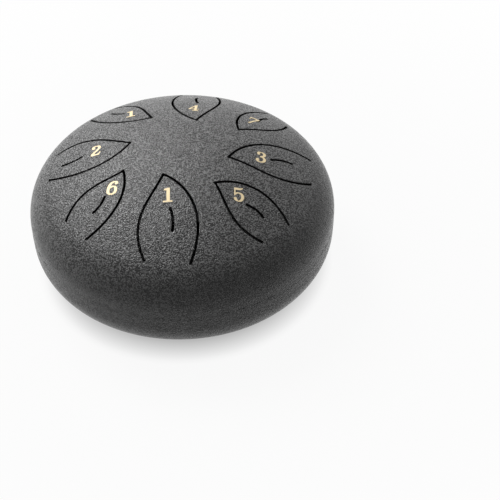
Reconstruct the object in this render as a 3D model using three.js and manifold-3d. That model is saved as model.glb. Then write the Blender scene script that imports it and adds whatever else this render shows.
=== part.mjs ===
// Steel tongue drum: two pressed steel shells joined at a lapped and welded seam, eight tongues cut
// free in the upper shell, a foil numeral on each tongue and rubber feet pushed into the base.
// Millimetres, +Z up. The origin is on the drum's axis, on the surface that the feet stand on.
// The player sits on the -Y side, which the lowest tongue points to.
import * as THREE from "three";
import { mergeVertices } from "three/addons/utils/BufferGeometryUtils.js";
import Module from "manifold-3d";

const wasm = await Module();
wasm.setup();

// Shells
const SHELL_RADIUS = 127; // outside of the skirt: a ten-inch drum
const SHEET = 2; // steel sheet of both shells
const CROWN_RISE = 62.5; // top of the skirt to the middle of the crown
const SHOULDER_RADIUS = 40; // outside bend between crown and skirt
const SKIRT_HEIGHT = 16.5; // straight wall between the two bends
const BASE_BEND_RADIUS = 32; // outside bend between skirt and base
const SOUND_HOLE_RADIUS = 30;
const LAP_HEIGHT = 6; // flange of the lower shell that stands inside the upper one
const WELD_HEIGHT = 1.6; // bead between the rims of the two shells
const CLEARANCE = 0.3; // between pieces that fit into, or lie on, each other

// Feet
const FOOT_COUNT = 3;
const FOOT_HEIGHT = 8; // surface to base
const FOOT_RADIUS = 9; // where it meets the base
const FOOT_TAPER = 1.2; // how much narrower it is at the surface
const FOOT_EDGE = 0.8; // chamfer at the surface
const FOOT_INSET = 10; // clear base between a foot and the bend
const PLUG_RADIUS = 3.5; // neck of the foot, in its hole in the base
const PLUG_HEAD_RADIUS = 5.5; // barb that holds the foot, inside the drum
const PLUG_HEAD_HEIGHT = 5;
const PLUG_HEAD_RIM = 1.2; // straight edge of the barb
const PLUG_TIP_RADIUS = 2;

// Tongues: leaves with the root where the crown turns into the shoulder and the tip near the middle
const SLOT_WIDTH = 2; // cut along the sides of a tongue
const VEIN_WIDTH = 2.1; // of the short tuning slit in a tongue
const VEIN_SHARE = 0.275; // length of a vein for the length of its tongue
const VEIN_LEAN = 4; // how far a vein runs clockwise on its way towards the tip
const VEIN_ARCH = 3.2; // how far the vein's control point bows anticlockwise

// Length of each tongue from root to tip, and width that its leaf is drawn in
const LOW_1_LENGTH = 72;
const LOW_1_WIDTH = 45;
const NOTE_2_LENGTH = 65;
const NOTE_2_WIDTH = 41.5;
const NOTE_3_LENGTH = 67;
const NOTE_3_WIDTH = 40;
const NOTE_4_LENGTH = 67.5;
const NOTE_4_WIDTH = 40;
const NOTE_5_LENGTH = 57.5;
const NOTE_5_WIDTH = 37;
const NOTE_6_LENGTH = 56.5;
const NOTE_6_WIDTH = 34.5;
const NOTE_7_LENGTH = 51.5;
const NOTE_7_WIDTH = 32.5;
const HIGH_1_LENGTH = 55.5;
const HIGH_1_WIDTH = 34.5;

// Where each vein starts, from the root
const LOW_1_VEIN = 22;
const NOTE_2_VEIN = 8.5;
const NOTE_3_VEIN = 15.5;
const NOTE_4_VEIN = 12;
const NOTE_5_VEIN = 13.5;
const NOTE_6_VEIN = 16.5;
const NOTE_7_VEIN = 10.5;
const HIGH_1_VEIN = 10.5;

// Middle of each numeral, from the tip and anticlockwise of the tongue's line
const LOW_1_NUMERAL_FROM_TIP = 19.5;
const LOW_1_NUMERAL_ACROSS = -2.3;
const NOTE_2_NUMERAL_FROM_TIP = 27.5;
const NOTE_2_NUMERAL_ACROSS = -1.3;
const NOTE_3_NUMERAL_FROM_TIP = 25.3;
const NOTE_3_NUMERAL_ACROSS = -1.5;
const NOTE_4_NUMERAL_FROM_TIP = 24.2;
const NOTE_4_NUMERAL_ACROSS = -0.3;
const NOTE_5_NUMERAL_FROM_TIP = 18.5;
const NOTE_5_NUMERAL_ACROSS = -0.3;
const NOTE_6_NUMERAL_FROM_TIP = 16;
const NOTE_6_NUMERAL_ACROSS = -2.5;
const NOTE_7_NUMERAL_FROM_TIP = 22.8;
const NOTE_7_NUMERAL_ACROSS = 0.8;
const HIGH_1_NUMERAL_FROM_TIP = 22.7;
const HIGH_1_NUMERAL_ACROSS = -5;

// turn is where a tongue lies, in degrees anticlockwise from the player.
// tipAcross and veinAcross are where the tip and the vein's root end lie, in leaf widths anticlockwise
// of the tongue's line. numeralTurn is in degrees anticlockwise from upright for the player.
const TONGUES = [
  {
    name: "low_1",
    digit: 1,
    turn: 0,
    length: LOW_1_LENGTH,
    width: LOW_1_WIDTH,
    tipAcross: -0.2,
    veinFromRoot: LOW_1_VEIN,
    veinAcross: 0.09,
    numeralFromTip: LOW_1_NUMERAL_FROM_TIP,
    numeralAcross: LOW_1_NUMERAL_ACROSS,
    numeralTurn: 7,
  },
  {
    name: "2",
    digit: 2,
    turn: 270.5,
    length: NOTE_2_LENGTH,
    width: NOTE_2_WIDTH,
    tipAcross: -0.12,
    veinFromRoot: NOTE_2_VEIN,
    veinAcross: 0.15,
    numeralFromTip: NOTE_2_NUMERAL_FROM_TIP,
    numeralAcross: NOTE_2_NUMERAL_ACROSS,
    numeralTurn: 6,
  },
  {
    name: "3",
    digit: 3,
    turn: 93,
    length: NOTE_3_LENGTH,
    width: NOTE_3_WIDTH,
    tipAcross: -0.24,
    veinFromRoot: NOTE_3_VEIN,
    veinAcross: 0.06,
    numeralFromTip: NOTE_3_NUMERAL_FROM_TIP,
    numeralAcross: NOTE_3_NUMERAL_ACROSS,
    numeralTurn: 1,
  },
  {
    name: "4",
    digit: 4,
    turn: 177.5,
    length: NOTE_4_LENGTH,
    width: NOTE_4_WIDTH,
    tipAcross: -0.17,
    veinFromRoot: NOTE_4_VEIN,
    veinAcross: 0.05,
    numeralFromTip: NOTE_4_NUMERAL_FROM_TIP,
    numeralAcross: NOTE_4_NUMERAL_ACROSS,
    numeralTurn: 2,
  },
  {
    name: "5",
    digit: 5,
    turn: 49,
    length: NOTE_5_LENGTH,
    width: NOTE_5_WIDTH,
    tipAcross: -0.2,
    veinFromRoot: NOTE_5_VEIN,
    veinAcross: 0.07,
    numeralFromTip: NOTE_5_NUMERAL_FROM_TIP,
    numeralAcross: NOTE_5_NUMERAL_ACROSS,
    numeralTurn: 7,
  },
  {
    name: "6",
    digit: 6,
    turn: 316,
    length: NOTE_6_LENGTH,
    width: NOTE_6_WIDTH,
    tipAcross: -0.28,
    veinFromRoot: NOTE_6_VEIN,
    veinAcross: 0.08,
    numeralFromTip: NOTE_6_NUMERAL_FROM_TIP,
    numeralAcross: NOTE_6_NUMERAL_ACROSS,
    numeralTurn: -5,
  },
  {
    name: "7",
    digit: 7,
    turn: 135,
    length: NOTE_7_LENGTH,
    width: NOTE_7_WIDTH,
    tipAcross: -0.24,
    veinFromRoot: NOTE_7_VEIN,
    veinAcross: 0.09,
    numeralFromTip: NOTE_7_NUMERAL_FROM_TIP,
    numeralAcross: NOTE_7_NUMERAL_ACROSS,
    numeralTurn: -14,
  },
  {
    name: "high_1",
    digit: 1,
    turn: 226,
    length: HIGH_1_LENGTH,
    width: HIGH_1_WIDTH,
    tipAcross: -0.29,
    veinFromRoot: HIGH_1_VEIN,
    veinAcross: 0.03,
    numeralFromTip: HIGH_1_NUMERAL_FROM_TIP,
    numeralAcross: HIGH_1_NUMERAL_ACROSS,
    numeralTurn: 10,
  },
];
// Both sides of a leaf as Bezier curves from root to tip: along in leaf lengths, and across in leaf widths
// from the straight line between the middle of the root and the tip
const LEAF_CLOCKWISE_SIDE = [[-0.32, 0], [-0.63, 0.41], [-0.2, 0.66], [0, 1]];
const LEAF_ANTICLOCKWISE_SIDE = [[0.45, 0], [0.81, 0.53], [0.43, 0.88], [0, 1]];

// Numerals
const NUMERAL_HEIGHT = 13;
const NUMERAL_WIDTH = 9.2; // of the box that a numeral is drawn in
const FOIL = 0.25;

// Facets
const SEGMENTS = 64; // around the shells
const CROWN_STEPS = 8;
const BEND_STEPS = 6;
const SIDE_STEPS = 12; // along a leaf's side
const VEIN_STEPS = 4;
const STROKE_STEPS = 12; // along a curved stroke of a numeral
const FOOT_SEGMENTS = 20;

// Places that follow from the sizes
const BASE_Z = FOOT_HEIGHT;
const SKIRT_BOTTOM_Z = BASE_Z + BASE_BEND_RADIUS;
const SKIRT_TOP_Z = SKIRT_BOTTOM_Z + SKIRT_HEIGHT;
const SEAM_Z = SKIRT_BOTTOM_Z + SKIRT_HEIGHT / 2;
const CROWN_TOP_Z = SKIRT_TOP_Z + CROWN_RISE;
const BASE_FLAT_RADIUS = SHELL_RADIUS - BASE_BEND_RADIUS;
const SHOULDER_CENTRE_RADIUS = SHELL_RADIUS - SHOULDER_RADIUS;
// The crown is the arc about the drum's axis that runs smoothly into the shoulder.
const CROWN_RADIUS =
  (SHELL_RADIUS * (SHELL_RADIUS - 2 * SHOULDER_RADIUS) + CROWN_RISE ** 2) /
  (2 * (CROWN_RISE - SHOULDER_RADIUS));
const CROWN_CENTRE_Z = CROWN_TOP_Z - CROWN_RADIUS;
const CROWN_ANGLE = Math.asin(SHOULDER_CENTRE_RADIUS / (CROWN_RADIUS - SHOULDER_RADIUS));
const TONGUE_ROOT = CROWN_RADIUS * Math.sin(CROWN_ANGLE);
const FOOT_CIRCLE_RADIUS = BASE_FLAT_RADIUS - FOOT_INSET - FOOT_RADIUS;

// Materials
const texturedPaint = new THREE.MeshStandardMaterial({ color: 0x4a4a4c, roughness: 0.6, metalness: 0.2 });
const goldFoil = new THREE.MeshStandardMaterial({ color: 0xeadbab, roughness: 0.4, metalness: 0.3 });
const blackRubber = new THREE.MeshStandardMaterial({ color: 0x1b1b1c, roughness: 0.85, metalness: 0 });

// Solids from geometry, and back

const SAME_POINT = 1e-4;

function solidOf(geometry) {
  const bare = geometry.clone();
  bare.deleteAttribute("normal");
  bare.deleteAttribute("uv");
  const merged = mergeVertices(bare, SAME_POINT);
  return new wasm.Manifold(
    new wasm.Mesh({
      numProp: 3,
      vertProperties: merged.attributes.position.array,
      triVerts: new Uint32Array(merged.index.array),
    }),
  );
}

function geometryOf(solid) {
  const mesh = solid.getMesh();
  const geometry = new THREE.BufferGeometry();
  geometry.setAttribute("position", new THREE.BufferAttribute(mesh.vertProperties, 3));
  geometry.setIndex(new THREE.BufferAttribute(mesh.triVerts, 1));
  geometry.computeVertexNormals();
  return geometry;
}

function named(name, geometry, material) {
  const mesh = new THREE.Mesh(geometry, material);
  mesh.name = name;
  return mesh;
}

// Profiles are lists of [radius, height] that run anticlockwise round the section.
function turned(profile, segments) {
  const points = profile.map(([radius, height]) => new THREE.Vector2(radius, height));
  return new THREE.LatheGeometry(points, segments).rotateX(Math.PI / 2);
}

// Points on an arc about a centre, with angles from the level outwards direction
function arc(radius, height, size, from, to, steps) {
  return Array.from({ length: steps + 1 }, (_, i) => {
    const angle = from + ((to - from) * i) / steps;
    return [radius + size * Math.cos(angle), height + size * Math.sin(angle)];
  });
}

// A flat outline as an upright prism
function prism(shape, bottom, top, curveSegments = SIDE_STEPS) {
  const depth = top - bottom;
  const geometry = new THREE.ExtrudeGeometry(shape, { depth, bevelEnabled: false, curveSegments });
  return geometry.translate(0, 0, bottom);
}

// The outline of a pen stroke along a curve, as wide as widthFor says for the way the pen moves
function stroke(curve, steps, widthFor, overrun = 0) {
  const left = [];
  const right = [];
  for (let i = 0; i <= steps; i++) {
    const ahead = curve.getTangent(i / steps);
    const point = curve.getPoint(i / steps).addScaledVector(ahead, i === steps ? overrun : 0);
    const across = new THREE.Vector2(-ahead.y, ahead.x).multiplyScalar(widthFor(ahead) / 2);
    left.push(point.clone().add(across));
    right.unshift(point.clone().sub(across));
  }
  return new THREE.Shape([...right, ...left]);
}

// Shells

function crownHeight(radius) {
  return CROWN_CENTRE_Z + Math.sqrt(CROWN_RADIUS ** 2 - radius ** 2);
}

function upperShellBlank() {
  const inside = SHELL_RADIUS - SHEET;
  const rim = SEAM_Z + WELD_HEIGHT / 2;
  const upright = Math.PI / 2;
  const edge = upright - CROWN_ANGLE;
  const profile = [
    [inside, rim],
    [SHELL_RADIUS, rim],
    ...arc(SHOULDER_CENTRE_RADIUS, SKIRT_TOP_Z, SHOULDER_RADIUS, 0, edge, BEND_STEPS),
    ...arc(0, CROWN_CENTRE_Z, CROWN_RADIUS, edge, upright, CROWN_STEPS).slice(1, -1),
    [0, CROWN_TOP_Z],
    [0, CROWN_TOP_Z - SHEET],
    ...arc(0, CROWN_CENTRE_Z, CROWN_RADIUS - SHEET, upright, edge, CROWN_STEPS).slice(1, -1),
    ...arc(SHOULDER_CENTRE_RADIUS, SKIRT_TOP_Z, SHOULDER_RADIUS - SHEET, edge, 0, BEND_STEPS),
    [inside, rim],
  ];
  return solidOf(turned(profile, SEGMENTS));
}

function lowerShell() {
  const inside = SHELL_RADIUS - SHEET;
  const ledge = SEAM_Z - WELD_HEIGHT / 2;
  const flangeOutside = inside - CLEARANCE;
  const flangeInside = flangeOutside - SHEET;
  const flangeTop = SEAM_Z + WELD_HEIGHT / 2 + LAP_HEIGHT;
  const down = -Math.PI / 2;
  const profile = [
    [SOUND_HOLE_RADIUS, BASE_Z],
    ...arc(BASE_FLAT_RADIUS, SKIRT_BOTTOM_Z, BASE_BEND_RADIUS, down, 0, BEND_STEPS),
    [SHELL_RADIUS, ledge],
    [flangeOutside, ledge],
    [flangeOutside, flangeTop],
    [flangeInside, flangeTop],
    [flangeInside, ledge],
    [inside, ledge - SHEET - CLEARANCE],
    ...arc(BASE_FLAT_RADIUS, SKIRT_BOTTOM_Z, BASE_BEND_RADIUS - SHEET, 0, down, BEND_STEPS),
    [SOUND_HOLE_RADIUS, BASE_Z + SHEET],
    [SOUND_HOLE_RADIUS, BASE_Z],
  ];
  const holeRadius = PLUG_RADIUS + CLEARANCE;
  const throughSheet = 3 * SHEET;
  const plugHole = new THREE.CylinderGeometry(holeRadius, holeRadius, throughSheet, FOOT_SEGMENTS);
  plugHole.rotateX(Math.PI / 2).translate(0, 0, BASE_Z + SHEET / 2);
  let shell = solidOf(turned(profile, SEGMENTS));
  for (const place of footPlaces()) {
    shell = shell.subtract(solidOf(plugHole.clone().translate(place.x, place.y, 0)));
  }
  return shell;
}

function seamWeld() {
  const bottom = SEAM_Z - WELD_HEIGHT / 2;
  const top = SEAM_Z + WELD_HEIGHT / 2;
  const inside = SHELL_RADIUS - SHEET;
  const profile = [
    [inside, bottom],
    [SHELL_RADIUS, bottom],
    [SHELL_RADIUS, top],
    [inside, top],
    [inside, bottom],
  ];
  return turned(profile, SEGMENTS);
}

// Feet

function footPlaces() {
  return Array.from({ length: FOOT_COUNT }, (_, i) => {
    const turn = (2 * Math.PI * i) / FOOT_COUNT;
    return new THREE.Vector3(FOOT_CIRCLE_RADIUS * Math.sin(turn), -FOOT_CIRCLE_RADIUS * Math.cos(turn), 0);
  });
}

function foot() {
  const soleRadius = FOOT_RADIUS - FOOT_TAPER;
  const headBottom = BASE_Z + SHEET;
  return turned(
    [
      [0, 0],
      [soleRadius - FOOT_EDGE, 0],
      [soleRadius, FOOT_EDGE],
      [FOOT_RADIUS, BASE_Z],
      [PLUG_RADIUS, BASE_Z],
      [PLUG_RADIUS, headBottom],
      [PLUG_HEAD_RADIUS, headBottom],
      [PLUG_HEAD_RADIUS, headBottom + PLUG_HEAD_RIM],
      [PLUG_TIP_RADIUS, headBottom + PLUG_HEAD_HEIGHT],
      [0, headBottom + PLUG_HEAD_HEIGHT],
    ],
    FOOT_SEGMENTS,
  );
}

// Tongues, drawn pointing at the player: across to +X, and from the root at -Y towards the axis

function leafPoint(tongue, [across, along]) {
  const x = (across + along * tongue.tipAcross) * tongue.width;
  return new THREE.Vector2(x, along * tongue.length - TONGUE_ROOT);
}

function leafCurve(tongue, controls) {
  return new THREE.CubicBezierCurve(...controls.map((control) => leafPoint(tongue, control)));
}

function leafShape(tongue) {
  const side = leafCurve(tongue, LEAF_ANTICLOCKWISE_SIDE).getPoints(SIDE_STEPS);
  const back = leafCurve(tongue, LEAF_CLOCKWISE_SIDE).getPoints(SIDE_STEPS).reverse();
  return new THREE.Shape([...side, ...back.slice(1)]);
}

// What the cutter takes away: a slot along both sides, and the moving tongue's parting line at its root
function tongueCuts(tongue) {
  const slotWidth = () => SLOT_WIDTH;
  const bothSides = [LEAF_CLOCKWISE_SIDE, LEAF_ANTICLOCKWISE_SIDE];
  const sides = bothSides.map((controls) =>
    stroke(leafCurve(tongue, controls), SIDE_STEPS, slotWidth, SLOT_WIDTH / 2),
  );
  const root = new THREE.LineCurve(...bothSides.map((controls) => leafPoint(tongue, controls[0])));
  const partingLine = stroke(root, 1, () => 2 * CLEARANCE);
  const cuts = [...sides, partingLine].map((shape) => solidOf(prism(shape, SEAM_Z, CROWN_TOP_Z + SHEET)));
  return cuts.reduce((joined, cut) => joined.add(cut));
}

function leafPrism(tongue) {
  return solidOf(prism(leafShape(tongue), SEAM_Z, CROWN_TOP_Z + SHEET));
}

function veinCut(tongue) {
  const rootEnd = new THREE.Vector2(tongue.veinAcross * tongue.width, tongue.veinFromRoot - TONGUE_ROOT);
  const tipEnd = rootEnd.clone().add(new THREE.Vector2(-VEIN_LEAN, VEIN_SHARE * tongue.length));
  const bow = rootEnd.clone().lerp(tipEnd, 0.5).add(new THREE.Vector2(VEIN_ARCH, 0));
  const vein = stroke(new THREE.QuadraticBezierCurve(rootEnd, bow, tipEnd), VEIN_STEPS, () => VEIN_WIDTH);
  return solidOf(prism(vein, SEAM_Z, CROWN_TOP_Z + SHEET));
}

function tongueTurn(tongue) {
  return THREE.MathUtils.degToRad(tongue.turn);
}

// Numerals, in a box one unit high

const THICK_STROKE = 0.155;
const THIN_STROKE = 0.065;

function penWidth(ahead) {
  return THIN_STROKE + (THICK_STROKE - THIN_STROKE) * Math.abs(ahead.y);
}

function pen(...points) {
  const curve = new THREE.SplineCurve(points.map(([x, y]) => new THREE.Vector2(x, y)));
  return stroke(curve, STROKE_STEPS, penWidth);
}

function plate(...points) {
  return new THREE.Shape(points.map(([x, y]) => new THREE.Vector2(x, y)));
}

function dot(x, y, radius) {
  return new THREE.Shape().absarc(x, y, radius, 0, 2 * Math.PI);
}

const NUMERALS = {
  1: [
    plate([0.2, 0.03], [0.37, 0.03], [0.37, 1], [0.29, 1], [0.2, 0.96]),
    plate([0.02, 0], [0.5, 0], [0.5, 0.1], [0.02, 0.1]),
    plate([0.07, 0.83], [0.24, 0.83], [0.29, 1], [0.07, 0.93]),
  ],
  2: [
    pen(
      [0.11, 0.72], [0.08, 0.87], [0.22, 0.97], [0.4, 0.9],
      [0.43, 0.72], [0.33, 0.5], [0.16, 0.28], [0.05, 0.08],
    ),
    plate([0.02, 0], [0.46, 0], [0.52, 0.3], [0.47, 0.3], [0.41, 0.12], [0.02, 0.12]),
    dot(0.125, 0.73, 0.085),
  ],
  3: [
    pen([0.16, 0.79], [0.19, 0.92], [0.33, 0.97], [0.46, 0.9], [0.49, 0.76], [0.43, 0.61], [0.27, 0.54]),
    pen([0.27, 0.54], [0.45, 0.48], [0.52, 0.31], [0.45, 0.11], [0.29, 0.03], [0.16, 0.08], [0.12, 0.22]),
    dot(0.185, 0.77, 0.08),
    dot(0.15, 0.25, 0.085),
  ],
  4: [
    plate([0.38, 1], [0.47, 1], [0.12, 0.32], [0.03, 0.32]),
    plate([0.03, 0.25], [0.6, 0.25], [0.6, 0.33], [0.03, 0.33]),
    plate([0.34, 0.03], [0.48, 0.03], [0.48, 1], [0.4, 1], [0.34, 0.86]),
    plate([0.24, 0], [0.58, 0], [0.58, 0.08], [0.24, 0.08]),
  ],
  5: [
    plate([0.105, 0.82], [0.4, 0.82], [0.52, 0.9], [0.56, 1], [0.44, 0.96], [0.105, 0.97]),
    plate([0.09, 0.4], [0.14, 0.4], [0.19, 0.93], [0.105, 0.93]),
    pen(
      [0.12, 0.49], [0.22, 0.59], [0.36, 0.6], [0.49, 0.5],
      [0.52, 0.31], [0.44, 0.1], [0.28, 0.02], [0.11, 0.18],
    ),
    dot(0.145, 0.21, 0.08),
  ],
  6: [
    pen([0.47, 0.85], [0.41, 0.95], [0.3, 0.96], [0.15, 0.82], [0.09, 0.5], [0.14, 0.14], [0.3, 0.03]),
    pen([0.3, 0.03], [0.46, 0.13], [0.5, 0.33], [0.44, 0.55], [0.3, 0.62], [0.14, 0.5]),
    dot(0.435, 0.83, 0.08),
  ],
  7: [
    plate(
      [0.03, 0.84], [0.2, 0.88], [0.38, 0.83], [0.55, 0.82],
      [0.57, 0.95], [0.4, 0.95], [0.2, 1], [0.03, 0.98],
    ),
    plate([0.02, 0.66], [0.07, 0.66], [0.1, 0.98], [0.03, 0.98]),
    plate([0.45, 0.86], [0.57, 0.9], [0.38, 0.46], [0.24, 0], [0.12, 0], [0.27, 0.46]),
  ],
};
const NUMERAL_BOX_WIDTH = 0.6; // of the strokes above, for a height of 1

// A numeral reads upright for the player, near enough, and lies on the crown of its tongue.
function numeral(tongue) {
  const parts = NUMERALS[tongue.digit].map((shape) => solidOf(prism(shape, 0, FOIL, STROKE_STEPS / 2)));
  const geometry = geometryOf(parts.reduce((joined, part) => joined.add(part)));
  const along = tongue.length - tongue.numeralFromTip - TONGUE_ROOT;
  const middle = new THREE.Vector2(tongue.numeralAcross, along);
  middle.rotateAround(new THREE.Vector2(), tongueTurn(tongue));
  const position = geometry.attributes.position;
  for (let i = 0; i < position.count; i++) {
    const x = (position.getX(i) / NUMERAL_BOX_WIDTH - 0.5) * NUMERAL_WIDTH;
    const y = (position.getY(i) - 0.5) * NUMERAL_HEIGHT;
    const spot = new THREE.Vector2(x, y);
    spot.rotateAround(new THREE.Vector2(), THREE.MathUtils.degToRad(tongue.numeralTurn));
    spot.add(middle);
    position.setXYZ(i, spot.x, spot.y, crownHeight(spot.length()) + CLEARANCE + position.getZ(i));
  }
  geometry.computeVertexNormals();
  return geometry;
}

// Assembly

const drum = new THREE.Group();
const blank = upperShellBlank();
let upperShell = blank;
for (const tongue of TONGUES) {
  const leaf = leafPrism(tongue);
  const cuts = tongueCuts(tongue);
  const free = blank.intersect(leaf).subtract(cuts).subtract(veinCut(tongue));
  const turnedGroup = new THREE.Group();
  turnedGroup.rotation.z = tongueTurn(tongue);
  turnedGroup.add(named(`tongue_${tongue.name}`, geometryOf(free), texturedPaint));
  drum.add(turnedGroup);
  drum.add(named(`numeral_${tongue.name}`, numeral(tongue), goldFoil));
  upperShell = upperShell.subtract(leaf.add(cuts).rotate([0, 0, tongue.turn]));
}
drum.add(named("upper_shell", geometryOf(upperShell), texturedPaint));
drum.add(named("lower_shell", geometryOf(lowerShell()), texturedPaint));
drum.add(named("seam_weld", seamWeld(), texturedPaint));
footPlaces().forEach((place, i) => {
  const mesh = named(`foot_${i + 1}`, foot(), blackRubber);
  mesh.position.copy(place);
  drum.add(mesh);
});

export default drum;
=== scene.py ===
"""Looks of a steel tongue drum: pressed shells, cut tongues, foil numerals and rubber feet.

Metres, +Z up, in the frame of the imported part. The player sits on the -Y side.
"""
import math
from collections import namedtuple

import bmesh
import bpy
from mathutils import Matrix, Vector
from mathutils.geometry import interpolate_bezier


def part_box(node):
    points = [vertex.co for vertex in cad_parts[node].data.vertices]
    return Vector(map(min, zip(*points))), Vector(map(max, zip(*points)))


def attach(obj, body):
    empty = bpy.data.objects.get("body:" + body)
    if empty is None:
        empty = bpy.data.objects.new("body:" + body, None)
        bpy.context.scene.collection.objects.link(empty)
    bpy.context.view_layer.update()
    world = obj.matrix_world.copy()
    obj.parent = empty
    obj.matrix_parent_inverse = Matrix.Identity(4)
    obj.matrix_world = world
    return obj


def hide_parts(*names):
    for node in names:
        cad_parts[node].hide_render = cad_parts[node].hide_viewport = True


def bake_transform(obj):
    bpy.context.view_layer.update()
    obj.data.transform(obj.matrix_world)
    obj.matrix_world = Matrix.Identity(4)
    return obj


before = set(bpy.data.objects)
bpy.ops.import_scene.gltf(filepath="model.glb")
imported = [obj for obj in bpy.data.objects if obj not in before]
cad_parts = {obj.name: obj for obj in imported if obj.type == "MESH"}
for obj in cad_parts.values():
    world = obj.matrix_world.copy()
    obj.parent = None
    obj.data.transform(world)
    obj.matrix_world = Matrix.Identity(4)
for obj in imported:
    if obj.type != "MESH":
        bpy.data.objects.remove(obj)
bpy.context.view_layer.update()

MM = 0.001

# Shells, with the outside sizes taken from the frame
UPPER_LOW, UPPER_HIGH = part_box("upper_shell")
LOWER_LOW, LOWER_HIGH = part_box("lower_shell")
WELD_LOW, WELD_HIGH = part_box("seam_weld")
SHELL_RADIUS = UPPER_HIGH.x
CROWN_TOP = UPPER_HIGH.z
BASE = LOWER_LOW.z
FLANGE_TOP = LOWER_HIGH.z
SHEET = 2 * MM
CROWN_RISE = 62.5 * MM
SHOULDER_RADIUS = 40 * MM
BASE_BEND_RADIUS = 32 * MM
SOUND_HOLE_RADIUS = 30 * MM
CLEARANCE = 0.3 * MM
CUT_EDGE_ROUNDING = 0.25 * MM
CUT_WALL_FACING = 0.5  # faces turned further inwards than this are the cuts' walls and the inside, which get the painted shade
BEAD_SPREAD = 2.5 * MM  # how far the ground weld feathers out over each shell
BEAD_RISE = 0.12 * MM
BEAD_STEPS = 8

# Places on the upper shell that follow from those sizes
SKIRT_TOP = CROWN_TOP - CROWN_RISE
SHOULDER_CENTRE = SHELL_RADIUS - SHOULDER_RADIUS
CROWN_RADIUS = (SHELL_RADIUS * (SHELL_RADIUS - 2 * SHOULDER_RADIUS) + CROWN_RISE ** 2) / (
    2 * (CROWN_RISE - SHOULDER_RADIUS)
)
CROWN_CENTRE = CROWN_TOP - CROWN_RADIUS
TONGUE_ROOT = CROWN_RADIUS * SHOULDER_CENTRE / (CROWN_RADIUS - SHOULDER_RADIUS)

# Tongues: turn is in degrees anticlockwise from the player, tip and vein_across are where the tip and the
# slit's root end lie in leaf widths anticlockwise of the tongue's line, and vein is from the root to the slit
Tongue = namedtuple("Tongue", "name turn length width tip vein vein_across")
TONGUES = [
    Tongue("low_1", 0, 72 * MM, 45 * MM, -0.2, 22 * MM, 0.09),
    Tongue("5", 49, 57.5 * MM, 37 * MM, -0.2, 13.5 * MM, 0.07),
    Tongue("3", 93, 67 * MM, 40 * MM, -0.24, 15.5 * MM, 0.06),
    Tongue("7", 135, 51.5 * MM, 32.5 * MM, -0.24, 10.5 * MM, 0.09),
    Tongue("4", 177.5, 67.5 * MM, 40 * MM, -0.17, 12 * MM, 0.05),
    Tongue("high_1", 226, 55.5 * MM, 34.5 * MM, -0.29, 10.5 * MM, 0.03),
    Tongue("2", 270.5, 65 * MM, 41.5 * MM, -0.12, 8.5 * MM, 0.15),
    Tongue("6", 316, 56.5 * MM, 34.5 * MM, -0.28, 16.5 * MM, 0.08),
]
SLOT_WIDTH = 2.0 * MM
VEIN_WIDTH = 2.1 * MM
VEIN_SHARE = 0.275  # the slit's length for the leaf's
VEIN_LEAN = 4 * MM  # clockwise, from the slit's root end to its tip end
VEIN_ARCH = 3.2 * MM  # anticlockwise, from the middle between the ends to the point that the slit bows to
VEIN_PULL = 2 / 3  # how far the curve's two handles lie on the way from the ends to that point
FLEX_LENGTH = 14 * MM  # from the root; a tongue's sheet is not bent over it in this script

# Sides of a leaf from root to tip: across in leaf widths from the line to the tip, along in leaf lengths
CLOCKWISE_SIDE = ((-0.32, 0), (-0.63, 0.41), (-0.2, 0.66), (0, 1))
ANTICLOCKWISE_SIDE = ((0.45, 0), (0.81, 0.53), (0.43, 0.88), (0, 1))

# Steps of the crown's mesh: a leaf lies in a wedge, and each side of it faces a corner of the wedge's
# outer arc, a spoke and a stretch of the inner arc
ROOT_STEPS = 8
CORNER_STEPS = 4
SPOKE_STEPS = 22
LEFT_ARC_STEPS = 2
RIGHT_ARC_STEPS = 6
LEFT_STEPS = CORNER_STEPS + SPOKE_STEPS + LEFT_ARC_STEPS
RIGHT_STEPS = CORNER_STEPS + SPOKE_STEPS + RIGHT_ARC_STEPS
RIM_STEPS = (ROOT_STEPS + 2 * CORNER_STEPS) * len(TONGUES)
VEIN_ROOT_STEPS = 5  # on each half of the slit's end that faces the root
VEIN_SIDE_STEPS = 8
VEIN_TIP_STEPS = LEFT_STEPS + RIGHT_STEPS - 2 * (VEIN_ROOT_STEPS + VEIN_SIDE_STEPS)
VEIN_END_SQUARENESS = 4  # exponent of the slit's ends: 2 is round, more is squarer
EDGE_BAND = 0.7 * MM  # narrow band of faces beside every cut, so that the shading stays even
WEDGE_INNER_RADIUS = 26 * MM
WEDGE_OUTER_RADIUS = 112 * MM
WEDGE_RINGS = 7
MIDDLE_RINGS = (0.66, 0.33)  # in shares of the wedges' inner radius
TIP_LEAN = 4.5  # degrees by which the wedges are set back for the tips' lean
TONGUE_RINGS = 7
BEND_STEPS = 14

# Base and feet
FOOT_NAMES = ("foot_1", "foot_2", "foot_3")
BASE_SPOKE_STEPS = 12
BASE_HOLE_STEPS = 20
BASE_RIM_STEPS = 42
BASE_RINGS = 6
PLUG_HOLE_START = 225  # degrees from +X at which a hole's points start, for a foot on the player's side
FOOT_RADIUS = 9 * MM
FOOT_SOLE_RADIUS = 7.8 * MM
FOOT_EDGE = 1.2 * MM
FOOT_EDGE_STEPS = 5
FOOT_LIP = 0.2 * MM  # small rounding at the top of the foot and under the plug's head
FOOT_LIP_DROP = 0.6 * MM  # how far below the base that rounding starts
FOOT_STEPS = 48
PLUG_RADIUS = 3.5 * MM
PLUG_HEAD_RADIUS = 5.5 * MM
PLUG_HEAD_RIM = 1.2 * MM
PLUG_TIP_RADIUS = 2 * MM

# Numerals
FOIL_RISE = 0.12 * MM
FOIL_SUNK = 0.1 * MM
FOIL_STEP = 1.6 * MM  # longer edges are cut up, so that the foil follows the crown
FOIL_CUTS = 3
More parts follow.
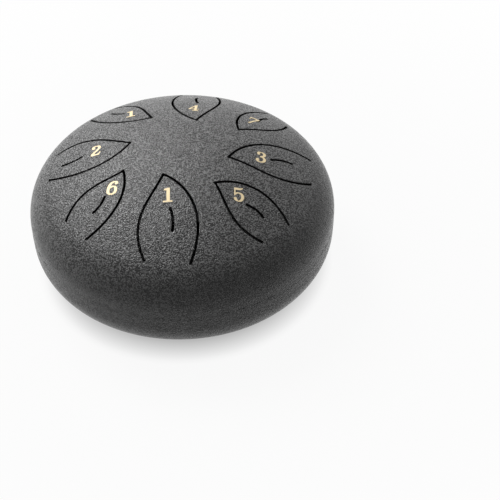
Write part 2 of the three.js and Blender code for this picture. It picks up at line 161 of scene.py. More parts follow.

# Paint: grains and clumps; the low grain is painted nearly black as painted shade and the raised grain grey
# as painted glints
PAINT_GRAIN = 1.1 * MM
PAINT_CLUMP = 3 * MM
PAINT_CLUMP_SHARE = 0.2  # of the coat's height; the rest is single grains
PAINT_PATCH = 35 * MM  # over which the greys drift
PAINT_DEPTH = 0.95 * MM
PAINT_SLOPE = (0.46, 0.56)  # heights between which the painted shade of the low grain turns into the painted glint of the raised grain
PAINT_PIT_SHADE = (0.011, 0.016)
PAINT_CREST_GLINT = (0.16, 0.21)
PAINT_ROUGHNESS = (0.34, 0.14)  # at no height and at full height
PAINT_GLOSS = 0.25

# Cut walls and inside, painted nearly black as painted shade
INSIDE_SCALE = 4 * MM
INSIDE_DEPTH = 0.2 * MM
INSIDE_PAINTED_SHADE_GREYS = (0.004, 0.012)
INSIDE_ROUGHNESS = (0.8, 0.95)
INSIDE_GLOSS = 0.1

# Gold foil
FOIL_GRAIN = 1.2 * MM
FOIL_PATCH = 7 * MM
FOIL_DEPTH = 0.2 * MM
FOIL_DEEP = (0.75, 0.605, 0.36, 1)
FOIL_PALE = (0.8, 0.67, 0.44, 1)
FOIL_DULL = (0.66, 0.51, 0.28, 1)
FOIL_WEAR = (0.28, 0.42)  # heights of the grain between which dull foil turns into whole foil
FOIL_ROUGHNESS = (0.5, 0.7)
FOIL_METAL = 0.22

# Rubber
RUBBER_MOULD = 0.6 * MM
RUBBER_PATCH = 9 * MM
RUBBER_DEPTH = 0.1 * MM
RUBBER_GREYS = (0.012, 0.03)
RUBBER_ROUGHNESS = (0.7, 0.9)

# Floor and light
FLOOR_SIZE = 4.0
FLOOR_SQUARES = 8
FLOOR_CLOUD = 0.4
FLOOR_GREYS = (0.48, 0.52)
FLOOR_PAINTED_SHADOW_GREY = 0.03
FLOOR_WHITE = 0.94  # how much of the sweep's plain white shows at the drum, over its lit and shaded surface
FLOOR_FADE = 0.6  # from here on the sweep is plain white, as the world is
FLOOR_DARK_RADIUS = 80 * MM  # under the drum the sweep's white is left out and the floor's colour is painted nearly black, a painted shadow
SOFTBOX_SIZE = 0.8
SOFTBOX_DISTANCE = 1.4
SOFTBOX_POWER = 29
SOFTBOX_TURN = 228
SOFTBOX_ELEVATION = 49
WORLD_LEVEL = 0.02

# Camera
LOOK_HEIGHT = 58.8 * MM
CAMERA_DISTANCE = 877.6 * MM
CAMERA_AZIMUTH = 9.34
CAMERA_ELEVATION = 41.06
CAMERA_YAW = -3.53
CAMERA_PITCH = -2.86
CAMERA_ROLL = -2.90
SENSOR_WIDTH = 36.0
FOCAL_SHARE = 2.08  # focal length for the width of the picture

# Mesh limits
SAME_POINT = 0.01 * MM
SHARP_ANGLE = math.radians(35)
CORNER_ANGLE = math.radians(60)
ROUNDING_SEGMENTS = 2


# Shader nodes


class Wire:
    """A shader value that arithmetic can be written with."""

    def __init__(self, finish, socket):
        self.finish = finish
        self.socket = socket

    def maths(self, operation, first, second):
        return self.finish.add("ShaderNodeMath", {"operation": operation}, {0: first, 1: second})

    def __add__(self, other):
        return self.maths("ADD", self, other)

    def __radd__(self, other):
        return self.maths("ADD", other, self)

    def __sub__(self, other):
        return self.maths("SUBTRACT", self, other)

    def __rsub__(self, other):
        return self.maths("SUBTRACT", other, self)

    def __mul__(self, other):
        return self.maths("MULTIPLY", self, other)

    def __rmul__(self, other):
        return self.maths("MULTIPLY", other, self)


class Finish:
    """The nodes of a material or of the world, put together one by one."""

    MIX_FIRST, MIX_SECOND, MIX_RESULT = 6, 7, 2  # colour sockets of the mix node

    def __init__(self, owner):
        self.owner = owner
        self.owner.use_nodes = True
        self.tree = owner.node_tree
        self.tree.nodes.clear()

    def add(self, kind, settings, inputs, output=0):
        """A new node, as the wire from one of its outputs if it has any."""
        node = self.tree.nodes.new(kind)
        for name, value in settings.items():
            if name == "stops":
                self.set_stops(node.color_ramp, value)
            else:
                setattr(node, name, value)
        for name, value in inputs.items():
            if isinstance(value, Wire):
                self.tree.links.new(value.socket, node.inputs[name])
            else:
                node.inputs[name].default_value = value
        return Wire(self, node.outputs[output]) if node.outputs else None

    def set_stops(self, ramp, stops):
        while len(ramp.elements) < len(stops):
            ramp.elements.new(1)
        for element, (position, colour) in zip(ramp.elements, stops):
            element.position = position
            element.color = colour

    def place(self):
        return self.add("ShaderNodeTexCoord", {}, {}, "Object")

    def noise(self, place, size, detail, roughness=0.5):
        inputs = {"Vector": place, "Scale": 1 / size, "Detail": detail, "Roughness": roughness}
        return self.add("ShaderNodeTexNoise", {}, inputs)

    def ramp(self, value, *stops):
        return self.add("ShaderNodeValToRGB", {"stops": stops}, {"Fac": value})

    def mix(self, share, first, second):
        """A blend of two colours."""
        inputs = {"Factor": share, self.MIX_FIRST: first, self.MIX_SECOND: second}
        return self.add("ShaderNodeMix", {"data_type": "RGBA"}, inputs, self.MIX_RESULT)

    def mix_greys(self, share, levels):
        first, second = levels
        return self.mix(share, grey(first), grey(second))

    def bump(self, height, strength, depth):
        return self.add("ShaderNodeBump", {}, {"Height": height, "Strength": strength, "Distance": depth})

    def seen(self):
        """1 on rays from the camera, from a shine or through glass, and 0 on those that only carry light."""
        rays = ("Is Camera Ray", "Is Glossy Ray", "Is Transmission Ray")
        return sum(self.add("ShaderNodeLightPath", {}, {}, ray) for ray in rays)

    def principled(self, inputs):
        return self.add("ShaderNodeBsdfPrincipled", {}, inputs)

    def surface(self, shader):
        """The finished material with this shader on its surface."""
        self.add("ShaderNodeOutputMaterial", {}, {"Surface": shader})
        return self.owner


def grey(level):
    return (level, level, level, 1)


def span(share, ends):
    """A value that goes from the first end to the last as share goes from 0 to 1."""
    first, last = ends
    return first - (first - last) * share


# Materials


def textured_paint():
    """Semi-matt sand-textured coat: the low grain is painted nearly black as painted shade, and the smoother
    raised grain is painted grey as painted glints in place of the light that it catches.
    """
    finish = Finish(bpy.data.materials.new("textured_paint"))
    place = finish.place()
    patches = finish.noise(place, PAINT_PATCH, detail=2)
    sand = finish.noise(place, PAINT_GRAIN, detail=1)
    clumps = finish.noise(place, PAINT_CLUMP, detail=1)
    height = PAINT_CLUMP_SHARE * clumps + (1 - PAINT_CLUMP_SHARE) * sand
    low, high = PAINT_SLOPE
    # Dark low grain and lighter raised grain: painted shade and painted glints over the coat's own dark grey
    glint_share = finish.ramp(height, (low, grey(0)), (high, grey(1)))
    pit_shade = finish.mix_greys(patches, PAINT_PIT_SHADE)
    crest_glint = finish.mix_greys(patches, PAINT_CREST_GLINT)
    shader = finish.principled({
        "Base Color": finish.mix(glint_share, pit_shade, crest_glint),
        "Roughness": span(height, PAINT_ROUGHNESS),
        "Specular IOR Level": PAINT_GLOSS,
        "Normal": finish.bump(height, strength=1, depth=PAINT_DEPTH),
    })
    return finish.surface(shader)


def dark_inside():
    """The cuts' walls and the inside of the crown, painted nearly black as painted shade for the slots and
    the hollow drum.
    """
    finish = Finish(bpy.data.materials.new("dark_inside"))
    scale = finish.noise(finish.place(), INSIDE_SCALE, detail=3, roughness=0.6)
    shader = finish.principled({
        "Base Color": finish.mix_greys(scale, INSIDE_PAINTED_SHADE_GREYS),
        "Roughness": span(scale, INSIDE_ROUGHNESS),
        "Specular IOR Level": INSIDE_GLOSS,
        "Normal": finish.bump(scale, strength=0.3, depth=INSIDE_DEPTH),
    })
    return finish.surface(shader)


def gold_foil():
    """Pale gold transfer that the coat's grain prints through."""
    finish = Finish(bpy.data.materials.new("gold_foil"))
    place = finish.place()
    print_through = finish.noise(place, FOIL_GRAIN, detail=2, roughness=0.55)
    patches = finish.noise(place, FOIL_PATCH, detail=1)
    whole = finish.mix(patches, FOIL_DEEP, FOIL_PALE)
    low, high = FOIL_WEAR
    worn = finish.ramp(print_through, (low, grey(1)), (high, grey(0)))
    shader = finish.principled({
        "Base Color": finish.mix(worn, whole, FOIL_DULL),
        "Roughness": span(print_through, FOIL_ROUGHNESS),
        "Metallic": FOIL_METAL,
        "Normal": finish.bump(print_through, strength=0.3, depth=FOIL_DEPTH),
    })
    return finish.surface(shader)


def black_rubber():
    """Moulded rubber, a little dusty."""
    finish = Finish(bpy.data.materials.new("black_rubber"))
    place = finish.place()
    mould = finish.noise(place, RUBBER_MOULD, detail=2, roughness=0.6)
    dust = finish.noise(place, RUBBER_PATCH, detail=3, roughness=0.6)
    shader = finish.principled({
        "Base Color": finish.mix_greys(dust, RUBBER_GREYS),
        "Roughness": span(dust, RUBBER_ROUGHNESS),
        "Normal": finish.bump(mould, strength=0.35, depth=RUBBER_DEPTH),
    })
    return finish.surface(shader)


def pale_floor():
    """White sweep: seen or mirrored it is close to plain white, with the shadow left in, and a painted shadow
    under the drum.
    """
    finish = Finish(bpy.data.materials.new("pale_floor"))
    place = finish.place()
    distance = finish.add("ShaderNodeVectorMath", {"operation": "LENGTH"}, {0: place}, "Value")
    clear = finish.ramp(distance, (FLOOR_DARK_RADIUS, grey(0)), (SHELL_RADIUS, grey(1)))
    cloud = finish.noise(place, FLOOR_CLOUD, detail=2)
    # Under the drum the floor's colour is painted nearly black: a painted shadow
    colour = finish.mix(clear, grey(FLOOR_PAINTED_SHADOW_GREY), finish.mix_greys(cloud, FLOOR_GREYS))
    matt = finish.principled({"Base Color": colour, "Roughness": 1, "Specular IOR Level": 0})
    white = finish.add("ShaderNodeEmission", {}, {"Color": grey(1), "Strength": 1})
    whiteness = finish.ramp(
        distance, (FLOOR_DARK_RADIUS, grey(0)), (SHELL_RADIUS, grey(FLOOR_WHITE)), (FLOOR_FADE, grey(1))
    )
    inputs = {0: finish.seen() * whiteness, 1: matt, 2: white}
    return finish.surface(finish.add("ShaderNodeMixShader", {}, inputs))


# Mesh helpers


def upper_height(radius):
    """Outside of the upper shell: the crown about the axis, then the shoulder."""
    if radius < TONGUE_ROOT:
        return CROWN_CENTRE + math.sqrt(CROWN_RADIUS ** 2 - radius ** 2)
    reach = min(radius - SHOULDER_CENTRE, SHOULDER_RADIUS)
    return SKIRT_TOP + math.sqrt(SHOULDER_RADIUS ** 2 - reach ** 2)


def between(first, last, steps):
    """Points on the way from first to last, without the two ends."""
    return [first.lerp(last, step / steps) for step in range(1, steps)]


def around(turn, radius):
    """A point on a level circle, turn degrees anticlockwise from the player."""
    angle = math.radians(turn)
    return Vector((radius * math.sin(angle), -radius * math.cos(angle), 0))


def arc_between(low, high, radius, steps):
    """Points on a level arc with both ends."""
    return [around(low + (high - low) * step / steps, radius) for step in range(steps + 1)]


def section_arc(radius, height, size, start, end, steps):
    """Radius and height of points on an arc in the section, without its first point. Degrees from level."""
    points = []
    for step in range(1, steps + 1):
        angle = math.radians(start + (end - start) * step / steps)
        points.append((radius + size * math.cos(angle), height + size * math.sin(angle)))
    return points


def new_rim(bm, edges):
    """Extrude open edges and give back the new vertices and the new open edges, still in place."""
    grown = bmesh.ops.extrude_edge_only(bm, edges=edges)["geom"]
    verts = [part for part in grown if isinstance(part, bmesh.types.BMVert)]
    rim = [part for part in grown if isinstance(part, bmesh.types.BMEdge)]
    return verts, rim


def ring_sheet(bm, loops, rings):
    """A sheet through closed loops of as many points each, with rings faces in each band between them."""
    order = bm.verts.layers.int.get("order") or bm.verts.layers.int.new("order")
    verts = [bm.verts.new(point) for point in loops[0]]
    for index, vert in enumerate(verts):
        vert[order] = index
    edges = [bm.edges.new(pair) for pair in zip(verts, verts[1:] + verts[:1])]
    for loop, count in zip(loops[1:], rings):
        verts, rim = new_rim(bm, edges)
        for vert in verts:
            vert.co = loop[vert[order]]
        spokes = [edge for vert in verts for edge in vert.link_edges if edge not in rim]
        bmesh.ops.subdivide_edges(bm, edges=spokes, cuts=count - 1, use_grid_fill=True)
        edges = rim


def grow_rim(bm, edges, section):
    """Carry a round open edge on through the radii and heights of a section."""
    for radius, height in section:
        verts, edges = new_rim(bm, edges)
        for vert in verts:
            flat = vert.co.xy.normalized() * radius
            vert.co = (flat.x, flat.y, height)


def open_circle(bm, radius):
    """The open edges that lie on a circle about the axis."""
    return [
        edge
        for edge in bm.edges
        if edge.is_boundary and all(abs(vert.co.xy.length - radius) < SAME_POINT for vert in edge.verts)
    ]


def face_outwards(bm, inside):
    """Turn an open sheet's faces away from a point inside the drum."""
    bmesh.ops.remove_doubles(bm, verts=bm.verts, dist=SAME_POINT)
    bmesh.ops.recalc_face_normals(bm, faces=bm.faces)
    facing = 0
    for face in bm.faces:
        facing += face.normal.dot(face.calc_center_median() - inside) * face.calc_area()
    if facing < 0:
        bmesh.ops.reverse_faces(bm, faces=bm.faces)


def corner_edges(bm):
    return [edge for edge in bm.edges if edge.is_manifold and edge.calc_face_angle() > CORNER_ANGLE]


def round_edges(bm, edges):
    """Take the sharpness off cut edges."""
    bmesh.ops.bevel(
        bm,
        geom=edges,
        offset=CUT_EDGE_ROUNDING,
        segments=ROUNDING_SEGMENTS,
        profile=0.5,
        affect="EDGES",
        material=-1,
        clamp_overlap=True,
    )


def spun(section, steps):
    """A closed body turned about the axis from the radii and heights of its section."""
    bm = bmesh.new()
    verts = [bm.verts.new((radius, 0, height)) for radius, height in section]
    edges = [bm.edges.new(pair) for pair in zip(verts, verts[1:])]
    if section[0][0] > 0:
        edges.append(bm.edges.new((verts[-1], verts[0])))
    turned = verts + edges
    full = 2 * math.pi
    bmesh.ops.spin(bm, geom=turned, cent=(0, 0, 0), axis=(0, 0, 1), angle=full, steps=steps, use_merge=True)
    bmesh.ops.remove_doubles(bm, verts=bm.verts, dist=SAME_POINT)
    bmesh.ops.recalc_face_normals(bm, faces=bm.faces)
    return bm


def made(name, bm, materials):
    """The finished piece, smooth but for its corners."""
    for edge in bm.edges:
        edge.smooth = not (edge.is_manifold and edge.calc_face_angle() > SHARP_ANGLE)
    for face in bm.faces:
        face.smooth = True
    mesh = bpy.data.meshes.new(name)
    bm.to_mesh(mesh)
    bm.free()
    for material in materials:
        mesh.materials.append(material)
    piece = bpy.data.objects.new(name, mesh)
    bpy.context.scene.collection.objects.link(piece)
    even = piece.modifiers.new("even shading", "WEIGHTED_NORMAL")
    even.keep_sharp = True
    return piece


# Leaves and veins, drawn on the player's side and then turned to their places


def curve_at(points, share):
    """A point on a Bezier curve, and the way that the curve goes there."""
    while len(points) > 2:
        points = [first.lerp(second, share) for first, second in zip(points, points[1:])]
    first, second = points
    return first.lerp(second, share), (second - first).normalized()


def leaf_controls(tongue, side):
    points = []
    for across, along in side:
        x = (across + along * tongue.tip) * tongue.width
        points.append(Vector((x, along * tongue.length - TONGUE_ROOT, 0)))
    return points


def leaf_side(points, outside, grow, end, steps):
    """A side moved outwards by grow, from the root line to the share of it where it meets the other one."""
    moved = []
    for step in range(steps):
        point, ahead = curve_at(points, end * step / steps)
        normal = outside * Vector((ahead.y, -ahead.x, 0))
        moved.append(point + (grow * normal if step else Vector((grow / normal.x, 0, 0))))
    return moved


def meeting_share(points, ahead, corner):
    """The share of a moved side that is left where it meets the other one before its own end."""
    end_speed = (len(points) - 1) * (points[-1] - points[-2]).length
    return 1 + min(corner.dot(ahead), 0) / end_speed


def leaf_loop(tongue, grow, root_shift=0.0):
    """Outline of a leaf: up the clockwise side, down the other one and back along the root.

    Both sides are moved outwards by grow, and corner is how far that moves the tip.
    """
    left = leaf_controls(tongue, CLOCKWISE_SIDE)
    right = leaf_controls(tongue, ANTICLOCKWISE_SIDE)
    tip, left_ahead = curve_at(left, 1)
    tip, right_ahead = curve_at(right, 1)
    left_normal = Vector((-left_ahead.y, left_ahead.x, 0))
    right_normal = Vector((right_ahead.y, -right_ahead.x, 0))
    corner = (left_normal + right_normal) * grow / (1 + left_normal.dot(right_normal))
    up = leaf_side(left, -1, grow, meeting_share(left, left_ahead, corner), LEFT_STEPS)
    down = leaf_side(right, 1, grow, meeting_share(right, right_ahead, corner), RIGHT_STEPS)[::-1]
    for end in (up[0], down[-1]):
        end.y += root_shift
    return placed(tongue, up + [tip + corner] + down + between(down[-1], up[0], ROOT_STEPS))


def slit_end(middle, ahead, size, start, steps):
    """Points round a slit's end without the first and last, clockwise from start degrees left of ahead."""
    left = Vector((-ahead.y, ahead.x, 0))
    points = []
    for step in range(1, steps):
        angle = math.radians(start - 180 * step / steps)
        along, across = math.cos(angle), math.sin(angle)
        power = VEIN_END_SQUARENESS
        reach = size / (abs(along) ** power + abs(across) ** power) ** (1 / power)
        points.append(middle + reach * (along * ahead + across * left))
    return points


def vein_loop(tongue, grow):
    """Outline of the tuning slit in a leaf, in the same order and with as many points."""
    root = Vector((tongue.vein_across * tongue.width, tongue.vein - TONGUE_ROOT, 0))
    tip = root + Vector((-VEIN_LEAN, VEIN_SHARE * tongue.length, 0))
    bow = root.lerp(tip, 0.5) + Vector((VEIN_ARCH, 0, 0))
    handles = (root.lerp(bow, VEIN_PULL), tip.lerp(bow, VEIN_PULL))
    line = interpolate_bezier(root, *handles, tip, VEIN_SIDE_STEPS + 1)
    ahead = [(after - before).normalized() for before, after in zip(line, line[1:])]
    ahead.append(ahead[-1])
    line[0] = line[0] + ahead[0] * VEIN_WIDTH / 2
    line[-1] = line[-1] - ahead[-1] * VEIN_WIDTH / 2
    half = VEIN_WIDTH / 2 + grow
    left = [point + half * Vector((-way.y, way.x, 0)) for point, way in zip(line, ahead)]
    right = [point - half * Vector((-way.y, way.x, 0)) for point, way in zip(line, ahead)]
    tip_end = slit_end(line[-1], ahead[-1], half, 90, VEIN_TIP_STEPS)
    root_end = slit_end(line[0], ahead[0], half, -90, 2 * VEIN_ROOT_STEPS + ROOT_STEPS)
    loop = left + tip_end + right[::-1] + root_end
    return placed(tongue, loop[-VEIN_ROOT_STEPS:] + loop[:-VEIN_ROOT_STEPS])


def placed(tongue, points, way=1):
    """Points turned from in front of the player to the tongue's place, or back with a way of -1."""
    turn = Matrix.Rotation(way * math.radians(tongue.turn), 3, "Z")
    return [turn @ point for point in points]


def on_root(tongue, edge):
    """Whether an edge lies on the line where the tongue is one sheet with the shell."""
    ends = placed(tongue, [vert.co for vert in edge.verts], -1)
    return all(abs(end.y + TONGUE_ROOT) < SHEET for end in ends)


# Upper shell and tongues


def turn_of(point):
    """Degrees anticlockwise from the player."""
    return math.degrees(math.atan2(point.x, -point.y))


def wedge_loop(tongue, low, high):
    """Outline of the crown between two turns, in the order of the leaf that lies in it."""
    outline = placed(tongue, leaf_loop(tongue, SLOT_WIDTH / 2), -1)
    root_left = tongue.turn + turn_of(outline[0])
    root_right = tongue.turn + turn_of(outline[-ROOT_STEPS])
    beside_tip = (low + tongue.turn + turn_of(outline[LEFT_STEPS])) / 2
    outer, inner = WEDGE_OUTER_RADIUS, WEDGE_INNER_RADIUS
    left_corner = arc_between(root_left, low, outer, CORNER_STEPS)
    right_corner = arc_between(high, root_right, outer, CORNER_STEPS)
    outside_root = arc_between(root_right, root_left, outer, ROOT_STEPS)
    inner_arc = arc_between(low, beside_tip, inner, LEFT_ARC_STEPS)
    inner_arc += arc_between(beside_tip, high, inner, RIGHT_ARC_STEPS)[1:]
    inwards = between(left_corner[-1], inner_arc[0], SPOKE_STEPS)
    outwards = between(inner_arc[-1], right_corner[0], SPOKE_STEPS)
    return left_corner + inwards + inner_arc + outwards + right_corner + outside_root[1:-1]


def wedge_turns():
    """For each tongue, the turns halfway to its two neighbours, set back because the tips lean clockwise."""
    turns = [tongue.turn for tongue in TONGUES]
    before = [turns[-1] - 360] + turns[:-1]
    low = [(first + second) / 2 - TIP_LEAN for first, second in zip(before, turns)]
    return list(zip(low, low[1:] + [low[0] + 360]))


def lay_on_crown(bm):
    for vert in bm.verts:
        vert.co.z = upper_height(vert.co.xy.length)


def thicken(bm):
    """Give a sheet its wall, inwards from its outside face, and round the cut edges that aren't at a root."""
    bmesh.ops.solidify(bm, geom=bm.faces[:], thickness=SHEET)
    cut = [edge for edge in corner_edges(bm) if not any(on_root(tongue, edge) for tongue in TONGUES)]
    round_edges(bm, cut)
    bm.normal_update()
    # Walls and inside faces take the second material: painted shade, nearly black
    middle = Vector((0, 0, CROWN_CENTRE))
    for face in bm.faces:
        outwards = (face.calc_center_median() - middle).normalized()
        face.material_index = int(face.normal.dot(outwards) < CUT_WALL_FACING)


def close_crown(bm):
    """The round middle of the crown, closed at the axis."""
    edges = open_circle(bm, WEDGE_INNER_RADIUS)
    for share in MIDDLE_RINGS:
        verts, edges = new_rim(bm, edges)
        for vert in verts:
            vert.co.xy = vert.co.xy.normalized() * WEDGE_INNER_RADIUS * share
    verts, edges = new_rim(bm, edges)
    bmesh.ops.pointmerge(bm, verts=verts, merge_co=(0, 0, 0))


def upper_shell(paint, inside):
    bm = bmesh.new()
    for tongue, (low, high) in zip(TONGUES, wedge_turns()):
        hole = leaf_loop(tongue, SLOT_WIDTH / 2)
        band = leaf_loop(tongue, SLOT_WIDTH / 2 + EDGE_BAND, -EDGE_BAND)
        ring_sheet(bm, (hole, band, wedge_loop(tongue, low, high)), (1, WEDGE_RINGS))
    bmesh.ops.remove_doubles(bm, verts=bm.verts, dist=SAME_POINT)
    close_crown(bm)
    lay_on_crown(bm)
    start = math.degrees(math.acos((WEDGE_OUTER_RADIUS - SHOULDER_CENTRE) / SHOULDER_RADIUS))
    section = section_arc(SHOULDER_CENTRE, SKIRT_TOP, SHOULDER_RADIUS, start, 0, BEND_STEPS)
    grow_rim(bm, open_circle(bm, WEDGE_OUTER_RADIUS), section + [(SHELL_RADIUS, UPPER_LOW.z)])
    face_outwards(bm, Vector((0, 0, SKIRT_TOP)))
    thicken(bm)
    piece = made("upper_shell_sheet", bm, (paint, inside))
    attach(piece, "drum")
    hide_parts("upper_shell")


def tongue_sheet(tongue, paint, inside):
    bm = bmesh.new()
    outline = leaf_loop(tongue, -SLOT_WIDTH / 2)
    band = leaf_loop(tongue, -SLOT_WIDTH / 2 - EDGE_BAND, EDGE_BAND)
    loops = (vein_loop(tongue, 0), vein_loop(tongue, EDGE_BAND), band, outline)
    ring_sheet(bm, loops, (1, TONGUE_RINGS, 1))
    lay_on_crown(bm)
    face_outwards(bm, Vector((0, 0, SKIRT_TOP)))
    thicken(bm)
    piece = made(f"tongue_{tongue.name}_sheet", bm, (paint, inside))
    root = around(tongue.turn, TONGUE_ROOT)
    bent = around(tongue.turn, TONGUE_ROOT - FLEX_LENGTH)
    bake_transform(piece)
    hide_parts(f"tongue_{tongue.name}")


def numeral(tongue, foil):
    """The foil transfer: the solid numeral, which lies a clearance above the crown, pressed down on it."""
    node = f"numeral_{tongue.name}"
    bm = bmesh.new()
    bm.from_mesh(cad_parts[node].data)
    bmesh.ops.remove_doubles(bm, verts=bm.verts, dist=SAME_POINT)
    long_edges = [edge for edge in bm.edges if edge.calc_length() > FOIL_STEP]
    bmesh.ops.subdivide_edges(bm, edges=long_edges, cuts=FOIL_CUTS, use_grid_fill=True)
    bmesh.ops.triangulate(bm, faces=bm.faces[:])
    for vert in bm.verts:
        crown = upper_height(vert.co.xy.length)
        on_top = vert.co.z - crown > CLEARANCE + FOIL_RISE
        vert.co.z = crown + (FOIL_RISE if on_top else -FOIL_SUNK)
    piece = made(f"{node}_foil", bm, (foil,))
    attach(piece, f"tongue_{tongue.name}")
    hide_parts(node)


# Lower shell, weld and feet


def foot_middle(name):
    low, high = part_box(name)
    return (low + high) / 2


def plug_hole_loop(middle, grow):
    """The round hole for a foot's plug, in the order of the base sector that it lies in."""
    turn = Matrix.Rotation(math.atan2(middle.x, -middle.y), 3, "Z")
    quarters = (BASE_SPOKE_STEPS, BASE_HOLE_STEPS, BASE_SPOKE_STEPS, BASE_RIM_STEPS)
    points = []
    for quarter, steps in enumerate(quarters):
        for step in range(steps):
            angle = math.radians(PLUG_HOLE_START - 90 * (quarter + step / steps))
            away = Vector((math.cos(angle), math.sin(angle), 0)) * (PLUG_RADIUS + CLEARANCE + grow)
            points.append(middle.xy.to_3d() + turn @ away)
    return points


def base_sector_loop(low, high):
    """A third of the flat base, from the sound hole to the bend."""
    inner_arc = arc_between(low, high, SOUND_HOLE_RADIUS, BASE_HOLE_STEPS)
    outer_arc = arc_between(high, low, SHELL_RADIUS - BASE_BEND_RADIUS, BASE_RIM_STEPS)
    inwards = between(outer_arc[-1], inner_arc[0], BASE_SPOKE_STEPS)
    outwards = between(inner_arc[-1], outer_arc[0], BASE_SPOKE_STEPS)
    return [outer_arc[-1]] + inwards + inner_arc + outwards + outer_arc[:-1]


def lower_shell(paint):
    bm = bmesh.new()
    third = 360 / len(FOOT_NAMES)
    for index, name in enumerate(FOOT_NAMES):
        middle = foot_middle(name)
        loops = (
            plug_hole_loop(middle, 0),
            plug_hole_loop(middle, EDGE_BAND),
            base_sector_loop(third * (index - 0.5), third * (index + 0.5)),
        )
        ring_sheet(bm, loops, (1, BASE_RINGS))
    bmesh.ops.remove_doubles(bm, verts=bm.verts, dist=SAME_POINT)
    for vert in bm.verts:
        vert.co.z = BASE
    flat = SHELL_RADIUS - BASE_BEND_RADIUS
    bend = section_arc(flat, BASE + BASE_BEND_RADIUS, BASE_BEND_RADIUS, -90, 0, BEND_STEPS)
    flange = SHELL_RADIUS - SHEET - CLEARANCE
    lap = [(SHELL_RADIUS, WELD_LOW.z), (flange, WELD_LOW.z), (flange, FLANGE_TOP)]
    grow_rim(bm, open_circle(bm, flat), bend + lap)
    face_outwards(bm, Vector((0, 0, SKIRT_TOP)))
    bmesh.ops.solidify(bm, geom=bm.faces[:], thickness=SHEET)
    above_base = BASE + 2 * SHEET
    holes = [edge for edge in corner_edges(bm) if all(vert.co.z < above_base for vert in edge.verts)]
    round_edges(bm, holes)
    piece = made("lower_shell_sheet", bm, (paint,))
    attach(piece, "drum")
    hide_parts("lower_shell")


def seam_weld(paint):
    """The bead in the groove between the shells, ground off and painted over, feathered out on both."""
    middle = (WELD_LOW.z + WELD_HIGH.z) / 2
    reach = (WELD_HIGH.z - WELD_LOW.z) / 2 + BEAD_SPREAD
    inside = SHELL_RADIUS - SHEET
    section = [(inside, WELD_LOW.z), (SHELL_RADIUS, WELD_LOW.z)]
    for step in range(BEAD_STEPS + 1):
        along = 2 * step / BEAD_STEPS - 1
        rise = BEAD_RISE * math.cos(along * math.pi / 2) ** 2
        section.append((SHELL_RADIUS + rise, middle + along * reach))
    section += [(SHELL_RADIUS, WELD_HIGH.z), (inside, WELD_HIGH.z)]
    bm = spun(section, RIM_STEPS)
    piece = made("seam_weld_bead", bm, (paint,))
    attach(piece, "drum")
    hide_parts("seam_weld")


def foot(name, rubber):
    """A rubber foot with its plug through the base and the plug's head inside."""
    low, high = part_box(name)
    inner = BASE + SHEET
    sole = FOOT_SOLE_RADIUS - FOOT_EDGE
    section = [
        (0, low.z),
        (sole, low.z),
        *section_arc(sole, low.z + FOOT_EDGE, FOOT_EDGE, -90, 0, FOOT_EDGE_STEPS),
        (FOOT_RADIUS - FOOT_LIP, BASE - FOOT_LIP_DROP),
        (FOOT_RADIUS, BASE - FOOT_LIP),
        (FOOT_RADIUS - FOOT_LIP, BASE),
        (PLUG_RADIUS, BASE),
        (PLUG_RADIUS, inner),
        (PLUG_HEAD_RADIUS - FOOT_LIP, inner),
        (PLUG_HEAD_RADIUS, inner + FOOT_LIP),
        (PLUG_HEAD_RADIUS, inner + PLUG_HEAD_RIM),
        (PLUG_TIP_RADIUS, high.z),
        (0, high.z),
    ]
    bm = spun(section, FOOT_STEPS)
    bmesh.ops.translate(bm, verts=bm.verts, vec=foot_middle(name).xy.to_3d())
    piece = made(f"{name}_rubber", bm, (rubber,))
    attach(piece, "drum")
    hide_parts(name)


# Floor, light and camera


def add_floor():
    bm = bmesh.new()
    bmesh.ops.create_grid(bm, x_segments=FLOOR_SQUARES, y_segments=FLOOR_SQUARES, size=FLOOR_SIZE)
    mesh = bpy.data.meshes.new("floor")
    bm.to_mesh(mesh)
    bm.free()
    mesh.materials.append(pale_floor())
    floor = bpy.data.objects.new("floor", mesh)
    bpy.context.scene.collection.objects.link(floor)


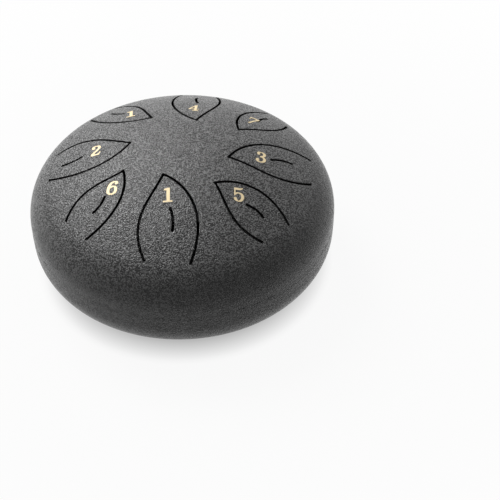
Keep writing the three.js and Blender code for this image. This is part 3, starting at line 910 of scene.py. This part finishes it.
def add_softbox():
    """A square panel behind the drum on the left, turned towards the crown."""
    lamp = bpy.data.lights.new("softbox", "AREA")
    lamp.size = SOFTBOX_SIZE
    lamp.energy = SOFTBOX_POWER
    panel = bpy.data.objects.new("softbox", lamp)
    level = math.radians(SOFTBOX_ELEVATION)
    away = around(SOFTBOX_TURN, math.cos(level)) + Vector((0, 0, math.sin(level)))
    panel.location = Vector((0, 0, CROWN_TOP)) + SOFTBOX_DISTANCE * away
    panel.rotation_euler = (-away).to_track_quat("-Z", "Y").to_euler()
    bpy.context.scene.collection.objects.link(panel)


def add_world():
    """Plain white wherever it is seen or mirrored, and hardly any light from it."""
    world = bpy.data.worlds.new("studio")
    studio = Finish(world)
    level = WORLD_LEVEL + (1 - WORLD_LEVEL) * studio.seen()
    background = studio.add("ShaderNodeBackground", {}, {"Color": grey(1), "Strength": level})
    studio.add("ShaderNodeOutputWorld", {}, {"Surface": background})
    bpy.context.scene.world = world


def add_camera():
    lens = bpy.data.cameras.new("camera")
    lens.sensor_width = SENSOR_WIDTH
    lens.lens = SENSOR_WIDTH * FOCAL_SHARE
    camera = bpy.data.objects.new("camera", lens)
    bpy.context.scene.collection.objects.link(camera)
    bpy.context.scene.camera = camera
    towards = Matrix.Rotation(math.radians(CAMERA_AZIMUTH), 4, "Z")
    towards = towards @ Matrix.Rotation(math.radians(90 - CAMERA_ELEVATION), 4, "X")
    back = towards @ Vector((0, 0, CAMERA_DISTANCE))
    aim = Matrix.Rotation(math.radians(CAMERA_YAW), 4, "Y")
    aim = aim @ Matrix.Rotation(math.radians(CAMERA_PITCH), 4, "X")
    aim = aim @ Matrix.Rotation(math.radians(CAMERA_ROLL), 4, "Z")
    place = Matrix.Translation(back + Vector((0, 0, LOOK_HEIGHT)))
    camera.matrix_world = place @ towards @ aim


def main():
    paint = textured_paint()
    inside = dark_inside()
    foil = gold_foil()
    rubber = black_rubber()
    upper_shell(paint, inside)
    for tongue in TONGUES:
        tongue_sheet(tongue, paint, inside)
        numeral(tongue, foil)
    lower_shell(paint)
    seam_weld(paint)
    for name in FOOT_NAMES:
        foot(name, rubber)
    add_floor()
    add_world()
    add_softbox()
    add_camera()
    bpy.context.scene.view_settings.view_transform = "Standard"


main()
